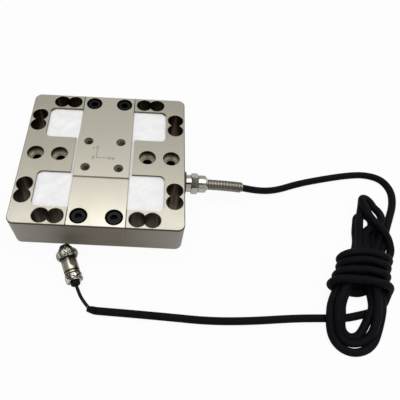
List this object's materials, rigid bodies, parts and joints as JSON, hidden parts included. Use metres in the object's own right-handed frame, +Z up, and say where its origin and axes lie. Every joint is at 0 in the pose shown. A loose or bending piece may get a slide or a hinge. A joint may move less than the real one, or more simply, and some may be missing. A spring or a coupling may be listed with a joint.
{
  "type": "multi-axis force sensor",
  "caption": "Square low-profile multi-axis force sensor with a bolted load bar, potted windows, side cable gland and a hanked sleeved cable ending in a round plug.",
  "frame": {"origin": "centre of the square body, at the level of the pads it stands on", "axes": "+Z up out of the load face, +X towards the face with the cable gland, +Y towards the back rail"},
  "size_m": [0.3594, 0.2354, 0.0375],
  "materials": {
    "frame_nickel": "satin nickel plate over ground steel",
    "bar_nickel": "satin nickel plate, ground island",
    "black_steel": "black oxide",
    "silicone": "soft white silicone, slightly uneven",
    "gauge_film": "polyimide film",
    "board": "green board",
    "core_insulation": "thin insulated cores",
    "black_rubber": "matt black rubber",
    "gland_nickel": "nickel-plated brass, bright",
    "spring_steel": "closely wound plated spring wire",
    "braided_sleeve": "black braided sleeve",
    "lead_jacket": "black jacket",
    "plug_nickel": "nickel-plated brass, knurled rings",
    "insert_plastic": "black insulating plastic",
    "contact_metal": "gold-flashed contacts"
  },
  "bodies": {
    "sensor": {"elastic_frame": "frame_nickel", "load_bar": "bar_nickel", "load_bar_screws": "black_steel", "potting_left": "silicone", "potting_right": "silicone", "strain_gauges_x": "gauge_film", "strain_gauges_y": "gauge_film", "strain_gauges_z": "gauge_film", "terminal_board": "board", "inner_leads": "core_insulation", "gland_washer": "black_rubber", "gland_body": "gland_nickel", "gland_seal": "black_rubber", "gland_nut": "gland_nickel", "strain_relief_spring": "spring_steel", "cable_run_in": "braided_sleeve", "cable_hank": "braided_sleeve", "cable_run_out": "braided_sleeve", "sleeve_end": "braided_sleeve", "plug_lead": "lead_jacket", "plug_grommet": "black_rubber", "plug_clamp_ring": "plug_nickel", "plug_shell": "plug_nickel", "plug_front_sleeve": "plug_nickel", "plug_insert": "insert_plastic", "plug_contacts": "contact_metal"},
    "coupling_ring": {"plug_coupling_ring": "plug_nickel"}
  },
  "joints": [
    {"name": "coupling_ring_turn", "type": "hinge", "parent": "sensor", "child": "coupling_ring", "pos_m": [-0.02326, -0.09314, 0.00898], "axis": [-0.3812, 0.9203, 0.0876], "continuous": true}
  ]
}
